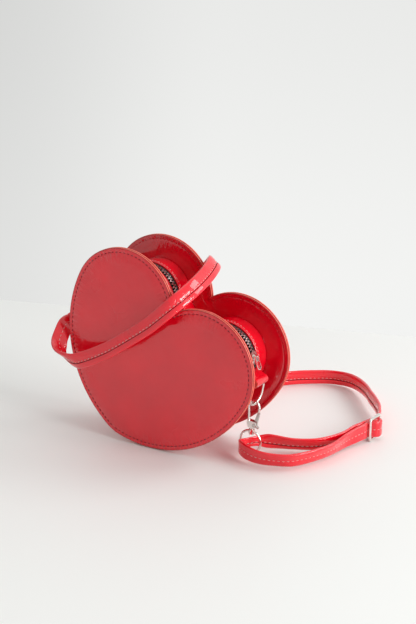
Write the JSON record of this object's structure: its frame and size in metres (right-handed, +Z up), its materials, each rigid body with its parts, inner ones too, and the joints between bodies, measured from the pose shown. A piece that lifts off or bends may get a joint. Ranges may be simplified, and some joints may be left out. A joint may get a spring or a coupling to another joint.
{
  "type": "heart shaped purse",
  "caption": "Heart shaped purse in patent leather with two panels, a zipped gusset, ring tabs, swivel snap hooks and a slide-adjusted shoulder strap, lying on its side edge.",
  "frame": {"origin": "on the surface that the purse lies on, below the middle of the heart's two panels and of the line that the heart is mirrored about before it leans", "axes": "+X to the right as the front panel is seen, +Y from the front panel to the back panel, +Z up"},
  "size_m": [0.2547, 0.2449, 0.1694],
  "materials": {
    "patent_leather": "glossy patent",
    "strap_leather": "glossy patent, coral painted edges",
    "board": "pressed fibre board",
    "lining": "woven",
    "zip_tape": "woven",
    "teeth_metal": "bright nickel",
    "zip_metal": "bright nickel",
    "plated_metal": "bright nickel"
  },
  "bodies": {
    "bag": {"front_panel": "patent_leather", "front_backing": "patent_leather", "front_board": "board", "front_lining": "lining", "back_panel": "patent_leather", "back_backing": "patent_leather", "back_board": "board", "back_lining": "lining", "gusset_base": "patent_leather", "gusset_top_front": "patent_leather", "gusset_top_rear": "patent_leather", "gusset_lining": "lining", "zip_tape_front": "zip_tape", "zip_tape_rear": "zip_tape", "zip_teeth_front": "teeth_metal", "zip_teeth_rear": "teeth_metal", "zip_stops": "teeth_metal", "tab_right": "patent_leather", "tab_left": "patent_leather", "strap_end_left": "strap_leather", "strap_front": "strap_leather", "strap_back": "strap_leather", "strap_floor": "strap_leather", "strap_run_leg": "strap_leather", "strap_clip_loop": "strap_leather", "strap_end_leg": "strap_leather", "strap_bar_loop": "strap_leather", "buckle_frame": "plated_metal", "buckle_bar": "plated_metal"},
    "slider": {"zip_slider": "zip_metal", "zip_slider_base": "zip_metal"},
    "pull": {"zip_pull": "zip_metal"},
    "ring_right": {"ring_right": "plated_metal"},
    "hook_right": {"hook_right": "plated_metal", "rivet_right": "plated_metal"},
    "gate_right": {"gate_right": "plated_metal"},
    "eye_right": {"eye_right": "plated_metal"},
    "ring_left": {"ring_left": "plated_metal"},
    "hook_left": {"hook_left": "plated_metal", "rivet_left": "plated_metal"},
    "gate_left": {"gate_left": "plated_metal"},
    "eye_left": {"eye_left": "plated_metal"}
  },
  "joints": [
    {"name": "zip_run", "type": "hinge", "parent": "bag", "child": "slider", "pos_m": [0.03717, 0, 0.0782], "axis": [0, -1, 0], "range_deg": [0, 95]},
    {"name": "pull_swing", "type": "hinge", "parent": "slider", "child": "pull", "pos_m": [0.06904, 0.0062, 0.08407], "axis": [0, -1, 0], "range_deg": [0, 150]},
    {"name": "ring_right_swing", "type": "hinge", "parent": "bag", "child": "ring_right", "pos_m": [0.07284, 0.0035, 0.0651], "axis": [0, -1, 0], "range_deg": [-10, 30], "deforming": ["strap_clip_loop"]},
    {"name": "hook_right_swing", "type": "hinge", "parent": "ring_right", "child": "hook_right", "pos_m": [0.06891, 0.0035, 0.04164], "axis": [0, -1, 0], "range_deg": [-5, 5]},
    {"name": "eye_right_swivel", "type": "hinge", "parent": "hook_right", "child": "eye_right", "pos_m": [0.06919, 0.0035, 0.04442], "axis": [0.1027, 0, 0.9947], "range_deg": [-20, 20]},
    {"name": "gate_right_open", "type": "hinge", "parent": "hook_right", "child": "gate_right", "pos_m": [0.0697, 0.0035, 0.02597], "axis": [0, -1, 0], "range_deg": [0, 22], "stiffness_Nm_per_rad": 0.002, "springref_deg": -20.05},
    {"name": "ring_left_swing", "type": "hinge", "parent": "bag", "child": "ring_left", "pos_m": [-0.06718, 0.0035, 0.14272], "axis": [0, -1, 0], "range_deg": [-10, 1], "deforming": ["strap_end_left"]},
    {"name": "hook_left_swing", "type": "hinge", "parent": "ring_left", "child": "hook_left", "pos_m": [-0.08775, 0.0035, 0.1345], "axis": [0, -1, 0], "range_deg": [-5, 1]},
    {"name": "eye_left_swivel", "type": "hinge", "parent": "hook_left", "child": "eye_left", "pos_m": [-0.08747, 0.0035, 0.13728], "axis": [0.0992, 0, 0.9951], "range_deg": [-15, 15]},
    {"name": "gate_left_open", "type": "hinge", "parent": "hook_left", "child": "gate_left", "pos_m": [-0.09167, 0.0035, 0.11931], "axis": [0, 1, 0], "range_deg": [0, 22], "stiffness_Nm_per_rad": 0.002, "springref_deg": -20.05}
  ]
}
